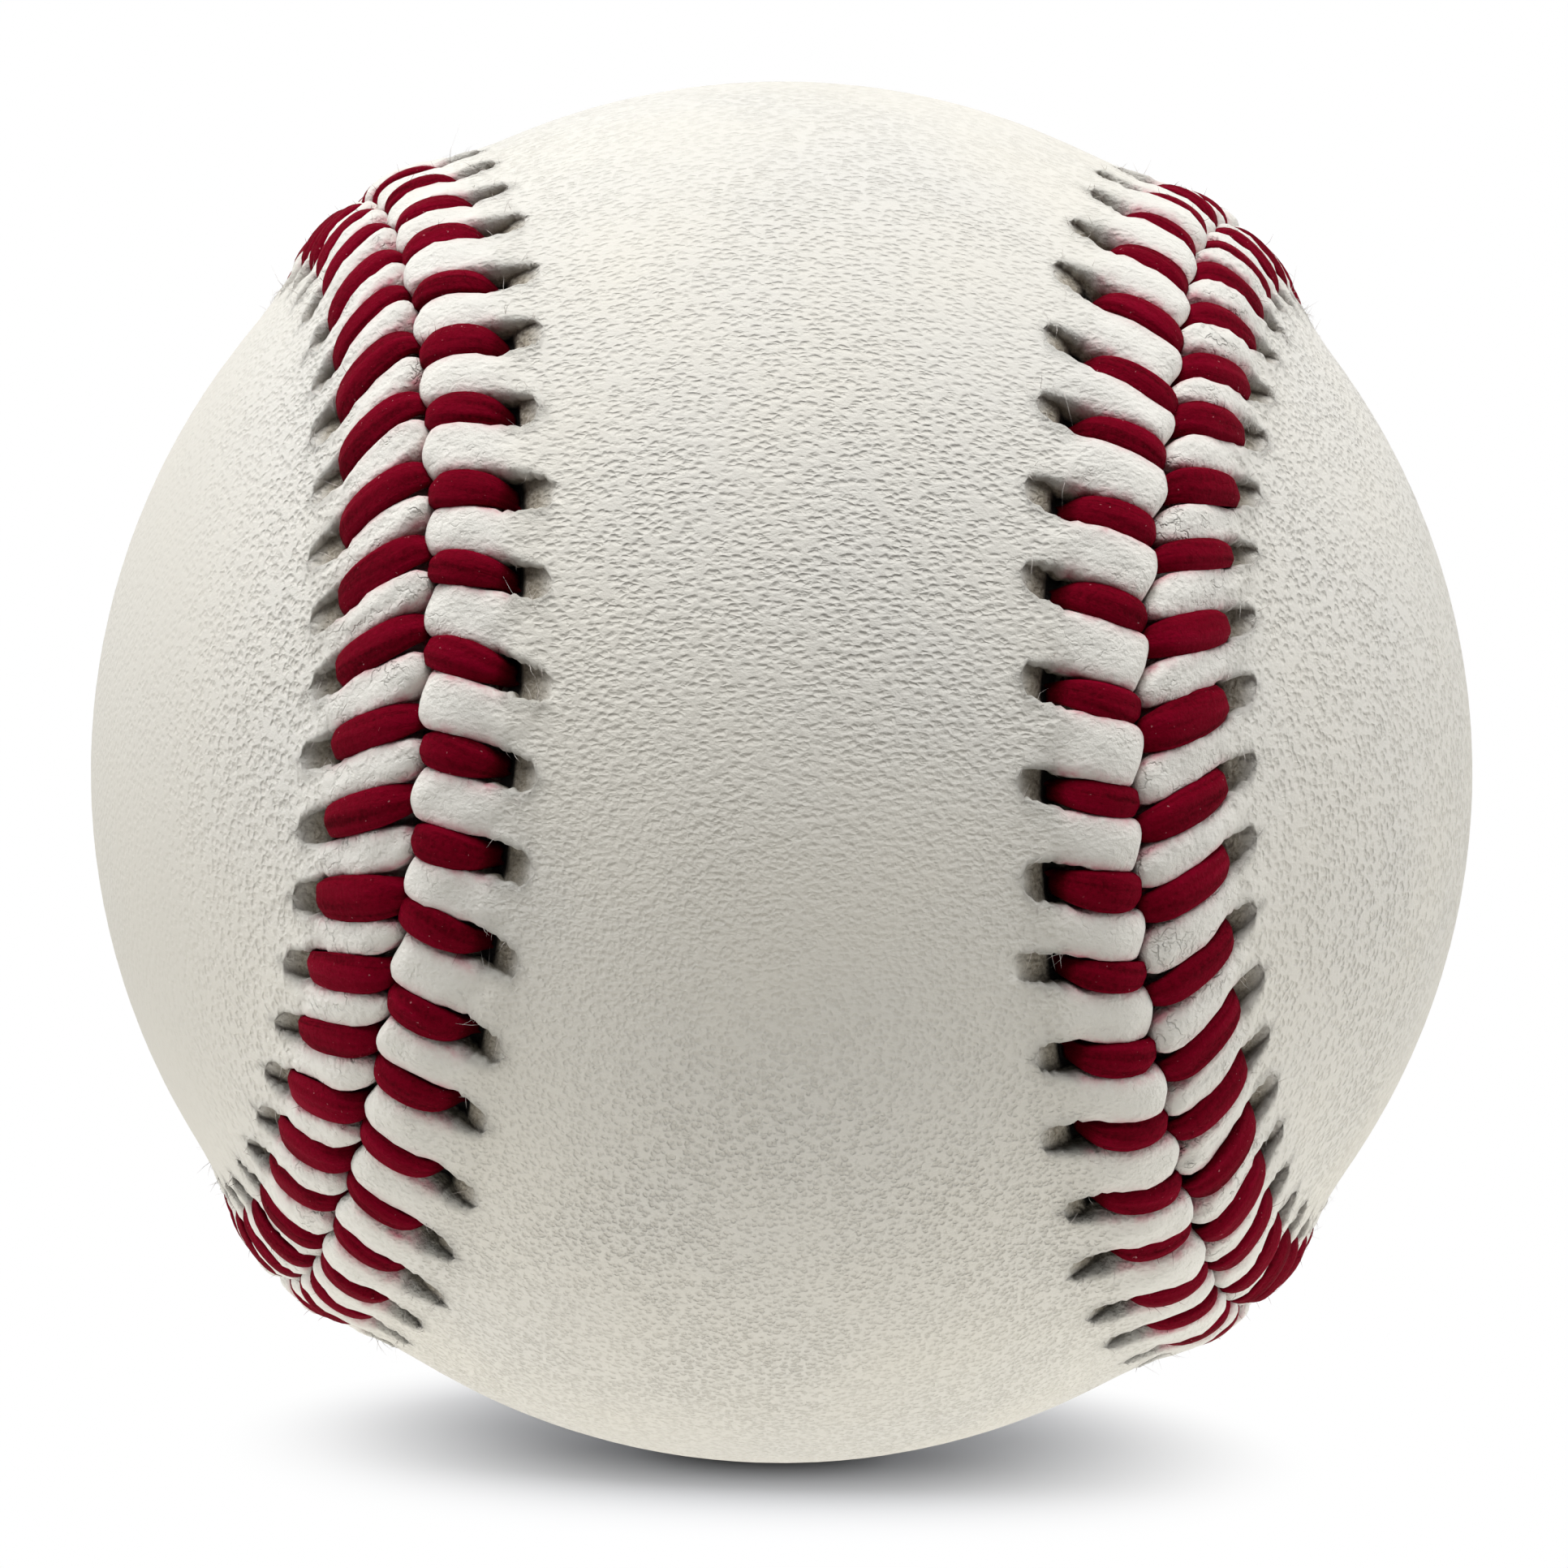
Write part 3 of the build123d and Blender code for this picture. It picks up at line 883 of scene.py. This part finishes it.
def leather_creases(tree, side, where, upper, depth):
    """Pits of the grain and cracks in the strained lobes: 1 where they are deepest."""
    dashes = soft_pits(tree, place_in_mm(tree, dash_stretch), dash_scale)
    dots = soft_pits(tree, where, dot_scales[side])
    dot_share = spread(tree, upper, 0.0, 1.0, dot_shares[side], 0.0)
    pits = plus(tree, times(tree, dashes, upper), times(tree, dots, dot_share))
    folds = noise(tree, where, crack_scale, **fold_noise)
    line = maths(tree, "ABSOLUTE", maths(tree, "SUBTRACT", folds, noise_middle))
    strained = spread(tree, noise(tree, where, strain_scale), *strain_span, 0.0, crack_shares[side])
    cracks = spread(tree, line, 0.0, crack_half_width, 1.0, 0.0)
    cracked = times(tree, times(tree, cracks, mark(tree, "stretched")), strained)
    return plus(tree, times(tree, pits, depth), cracked)


def leather_tone(tree, side, where, upper, even, creases):
    """Uneven ivory, painted shade in the creases and on the back's left side, dye beside the thread, and
    in the holes raw fibre darkened by painted shade, which turns to painted black shade.
    """
    blotch = spread(tree, noise(tree, where, blotch_scale, **cloud_noise), *noise_span)
    clear_tone = mixed(tree, blotch, ivory, cool_ivory)
    # On the back, painted shade greys the left side, where the grain is also more even
    field_tone = mixed(tree, maths(tree, "SUBTRACT", 1.0, even), clear_tone, left_shade_ivory)
    clean_share = times(tree, mark(tree, "stretched"), lobe_clean_share)
    tone = mixed(tree, clean_share, field_tone, clean_ivory)
    # Painted shade darkens the creases, pits and cracks
    crease_shade_share = spread(tree, upper, 0.0, 1.0, dot_shade_shares[side], dash_shade_shares[side])
    crease_shaded = mixed(tree, times(tree, creases, crease_shade_share, True), tone, crease_shade_ivory)
    dye_patches = spread(tree, noise(tree, where, dye_scale), *dye_span, least_dye_share)
    dyed = mixed(tree, times(tree, mark(tree, "dye"), dye_patches, True), crease_shaded, dye_pink)
    # In the holes and low in the grooves: raw fibre partly darkened by painted shade, then painted black
    # shade
    fibre_share = spread(tree, noise(tree, where, fibre_scale, **fibre_noise), *noise_span)
    shaded_fibre = mixed(tree, fibre_share, shaded_raw_leather, pale_fibre)
    hollow = mark(tree, "hollow")
    shaded_raw = mixed(tree, spread(tree, hollow, *shaded_raw_span), dyed, shaded_fibre)
    return mixed(tree, spread(tree, hollow, *hole_shade_span), shaded_raw, hole_shade_black)


def leather_relief(tree, where, depth, even, creases):
    """Heights of the grain: wrinkles, roughness and frayed edges, less the creases."""
    wrinkles = noise(tree, place_in_mm(tree, dash_stretch), wrinkle_scale, **fold_noise)
    waves = times(tree, times(tree, wrinkles, depth), wrinkle_share)
    lobe_rough = times(tree, mark(tree, "stretched"), lobe_rough_share)
    rough = plus(tree, lobe_rough, times(tree, even, field_rough_share))
    fine = times(tree, noise(tree, where, fine_scale, **fine_noise), rough)
    frayed = times(tree, mark(tree, "torn"), noise(tree, where, frayed_scale, **fibre_noise))
    raised = plus(tree, waves, plus(tree, fine, times(tree, frayed, frayed_share)))
    return maths(tree, "SUBTRACT", raised, creases)


def leather(name, side):
    """Tanned cowhide: pitted grain, uneven ivory, dye beside the thread, raw fibre in the holes, and
    painted shade in the creases, in the holes and on the back's left side.
    """
    material, tree, shader = new_material(name)
    where = place_in_mm(tree)
    across_ball, _, height_up = add(tree, "ShaderNodeSeparateXYZ", Vector=where).outputs
    upper = spread(tree, height_up, *dash_heights[side])
    even = spread(tree, across_ball, even_from, even_to, even_shares[side])
    patchy = spread(tree, noise(tree, where, patch_scale), *noise_span, patch_share)
    smoothed = times(tree, mark(tree, "stretched"), lobe_smooth_share)
    depth = times(tree, times(tree, patchy, maths(tree, "SUBTRACT", 1.0, smoothed)), even)
    creases = leather_creases(tree, side, where, upper, depth)
    tone = leather_tone(tree, side, where, upper, even, creases)
    relief = leather_relief(tree, where, depth, even, creases)
    roughness = spread(tree, relief, *relief_span, *leather_roughness)
    finish_surface(tree, shader, tone, roughness, relief, grain_bump, grain_depth)
    shader.inputs["Specular IOR Level"].default_value = leather_shine
    return material


def waxed_thread(name):
    """Waxed cotton thread: lengthwise plies and fibres, lighter on the raised strands partly by painted
    highlight, and with painted shade where it dives into the leather.
    """
    material, tree, shader = new_material(name)
    across = times(tree, mark(tree, "around"), strands_around)
    onward = times(tree, mark(tree, "leg_along"), strands_along)
    between = times(tree, mark(tree, "leg_seed"), strands_between)
    skew = plus(tree, across, times(tree, onward, strand_skew))
    thread_where = add(tree, "ShaderNodeCombineXYZ", n0=skew, n1=onward, n2=between).outputs[0]
    where = place_in_mm(tree)
    strands = noise(tree, thread_where, strand_scale, **strand_noise)
    fluff = noise(tree, where, fluff_scale, **fine_noise)
    both = plus(tree, times(tree, strands, strand_share), times(tree, fluff, 1 - strand_share))
    # The tone follows the strands' relief: partly their own uneven red, partly painted highlight on top
    # and painted shade between
    light = spread(tree, both, *strand_span)
    body = mixed(tree, spread(tree, light, *dark_span), dark_crimson, crimson)
    bright = mixed(tree, spread(tree, light, *highlight_span, 0.0, highlight_share), body, strand_highlight_crimson)
    lint = spread(tree, noise(tree, where, lint_scale, **lint_noise), *lint_span, 0.0, lint_share)
    linty = mixed(tree, lint, bright, pale_lint)
    # Painted shade where the thread dives into the leather
    shaded = mixed(tree, times(tree, mark(tree, "buried"), buried_shade_share), linty, dark_crimson)
    roughness = spread(tree, light, 0.0, 1.0, *thread_roughness)
    finish_surface(tree, shader, shaded, roughness, light, thread_bump, thread_depth)
    shader.inputs["Specular IOR Level"].default_value = thread_shine
    return material


def speckled(name, tones, scale, roughness, depth):
    """Cork and rubber: two tones in grains."""
    material, tree, shader = new_material(name)
    where = place_in_mm(tree)
    grain = spread(tree, noise(tree, where, scale, **speckle_noise), *noise_span)
    chips = spread(tree, cells(tree, where, scale), *chip_span)
    share = times(tree, grain, chips)
    finish_surface(tree, shader, mixed(tree, share, *tones), roughness, share, speckle_bump, depth)
    return material


def wound_yarn(name, tones, turns):
    """Yarn wound round and round: fine crossing turns with fuzz."""
    material, tree, shader = new_material(name)
    where = place_in_mm(tree)
    bands = add(
        tree, "ShaderNodeTexWave", {"wave_type": "BANDS", "bands_direction": "DIAGONAL"},
        Vector=where, Scale=turns, Distortion=yarn_wander, Detail=yarn_detail,
    ).outputs[1]
    fuzz = noise(tree, where, yarn_fuzz_scale, **fuzz_noise)
    share = times(tree, bands, spread(tree, fuzz, *yarn_fuzz_span, yarn_fuzz_share))
    finish_surface(tree, shader, mixed(tree, share, *tones), yarn_roughness, share, yarn_bump, yarn_depth)
    return material


def wear(node_names, material):
    """Gives solids of the frame their material."""
    for node_name in node_names:
        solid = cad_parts[node_name]
        solid.data.materials.clear()
        solid.data.materials.append(material)


def dress_inside():
    """Materials for the pill and the windings under the cover."""
    cork = speckled("cork", cork_tones, cork_scale, cork_roughness, cork_depth)
    black = speckled("black_rubber", black_tones, rubber_scale, black_roughness, rubber_depth)
    red = speckled("red_rubber", red_tones, rubber_scale, red_roughness, rubber_depth)
    wear(["cork_core"], cork)
    wear(["black_rubber_half_shell_upper", "black_rubber_half_shell_lower"], black)
    wear(["rubber_gasket_upper", "rubber_gasket_lower", "red_rubber_layer"], red)
    grey = wound_yarn("grey_wool", grey_wool_tones, wool_turns)
    wear(["first_winding_grey_wool", "third_winding_grey_wool"], grey)
    wear(["second_winding_white_wool"], wound_yarn("white_wool", white_wool_tones, wool_turns))
    wear(["finishing_winding_cotton"], wound_yarn("white_cotton", cotton_tones, cotton_turns))


def settle(piece, material, node):
    """A finished piece takes the place of its solid."""
    piece.data.materials.append(material)
    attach(piece, "root")
    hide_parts(node)


def make_cover():
    """Both leather panels and both threads."""
    front = leather_panel(FRONT, "front_leather")
    settle(front, leather("front_cowhide", FRONT), "cover_panel_front")
    back = leather_panel(BACK, "back_leather")
    settle(back, leather("back_cowhide", BACK), "cover_panel_back")
    red = waxed_thread("waxed_red_thread")
    first = needle_thread(FRONT, "first_needle_stitches")
    settle(first, red, "seam_thread_first_needle")
    second = needle_thread(BACK, "second_needle_stitches")
    settle(second, red, "seam_thread_second_needle")


def make_camera():
    """A camera where the photograph was taken from."""
    data = bpy.data.cameras.new("camera")
    data.sensor_width = sensor_mm
    data.lens = lens_mm
    data.clip_start = camera_clip * metres_per_mm
    data.shift_x = (image_size / 2 - ball_middle_pixel[0]) / image_size
    data.shift_y = (ball_middle_pixel[1] - image_size / 2) / image_size
    camera = put("camera", data)
    turn = Euler([math.radians(angle) for angle in camera_turn_degrees], "XYZ").to_matrix().to_4x4()
    away = Matrix.Translation((0, -camera_distance * metres_per_mm, 0))
    upright = Matrix.Rotation(math.radians(90), 4, "X")
    camera.matrix_world = turn.transposed() @ away @ upright
    bpy.context.scene.camera = camera


def ground_share(tree, middle, stretch, reach):
    """How far out a place on the floor is: 0 within the reach, 1 beyond it."""
    where = add(tree, "ShaderNodeTexCoord").outputs["Object"]
    place = [-share * length for share, length in zip(stretch, middle)]
    stretched = add(tree, "ShaderNodeMapping", Vector=where, Location=place, Scale=stretch).outputs[0]
    away = add(tree, "ShaderNodeVectorMath", {"operation": "LENGTH"}, n0=stretched).outputs["Value"]
    return spread(tree, away, *reach, how="SMOOTHSTEP")


def white_floor(name):
    """White paint near the ball, which turns into the white surround further out.

    The ball sees a glow instead, for the light that a wide white ground throws back."""
    material, tree, shader = new_material(name)
    tree.nodes.remove(shader)
    material.cycles.emission_sampling = "NONE"
    path = add(tree, "ShaderNodeLightPath")
    matt = add(tree, "ShaderNodeBsdfDiffuse", Color=colour(floor_paint)).outputs[0]
    bright = add(tree, "ShaderNodeEmission", Color=colour(white)).outputs[0]
    surround = ground_share(tree, surround_middle, surround_stretch, surround_reach)
    ground = add(tree, "ShaderNodeMixShader", n0=surround, n1=matt, n2=bright).outputs[0]
    far_out = ground_share(tree, glow_middle, glow_stretch, glow_reach)
    first_bounce = maths(tree, "LESS_THAN", path.outputs["Ray Depth"], glow_bounces)
    strength = times(tree, spread(tree, far_out, 0.0, 1.0, floor_glow, 0.0), first_bounce)
    glow = add(tree, "ShaderNodeEmission", Color=colour(warm_white), Strength=strength).outputs[0]
    mix = add(tree, "ShaderNodeMixShader", n0=path.outputs["Is Camera Ray"], n1=glow, n2=ground)
    feed(tree, tree.nodes["Material Output"].inputs["Surface"], mix.outputs[0])
    return material


def make_floor():
    """A plain floor under the ball."""
    height = cad_low.z
    corners = [(side_x * floor_half, side_y * floor_half, height) for side_x, side_y in floor_corners]
    mesh = bpy.data.meshes.new("floor")
    mesh.from_pydata(corners, [], [range(len(corners))])
    floor = put("floor", mesh)
    mesh.materials.append(white_floor("white_floor"))


def soft_light(name, place, size, power):
    """A square lamp that faces the ball."""
    data = bpy.data.lights.new(name, "AREA")
    data.size = size
    data.energy = power
    lamp = put(name, data)
    lamp.location = place
    lamp.rotation_euler = (-Vector(place)).to_track_quat("-Z", "Y").to_euler()


def make_light():
    """Soft light from above, from both sides and from behind, and a white surround."""
    for name, place, size, power in lamps:
        soft_light(name, place, size, power)
    world = bpy.data.worlds.new("surround")
    bpy.context.scene.world = world
    world.use_nodes = True
    tree = world.node_tree
    rays = add(tree, "ShaderNodeLightPath").outputs
    seen = maths(tree, "MAXIMUM", rays["Is Camera Ray"], rays["Is Transmission Ray"])
    seen_or_mirrored = maths(tree, "MAXIMUM", seen, rays["Is Glossy Ray"])
    background = tree.nodes["Background"]
    background.inputs["Color"].default_value = colour(white)
    strength = spread(tree, seen_or_mirrored, 0.0, 1.0, surround_light)
    feed(tree, background.inputs["Strength"], strength)


make_camera()
make_floor()
make_light()
dress_inside()
make_cover()
bpy.context.scene.view_settings.view_transform = "Standard"
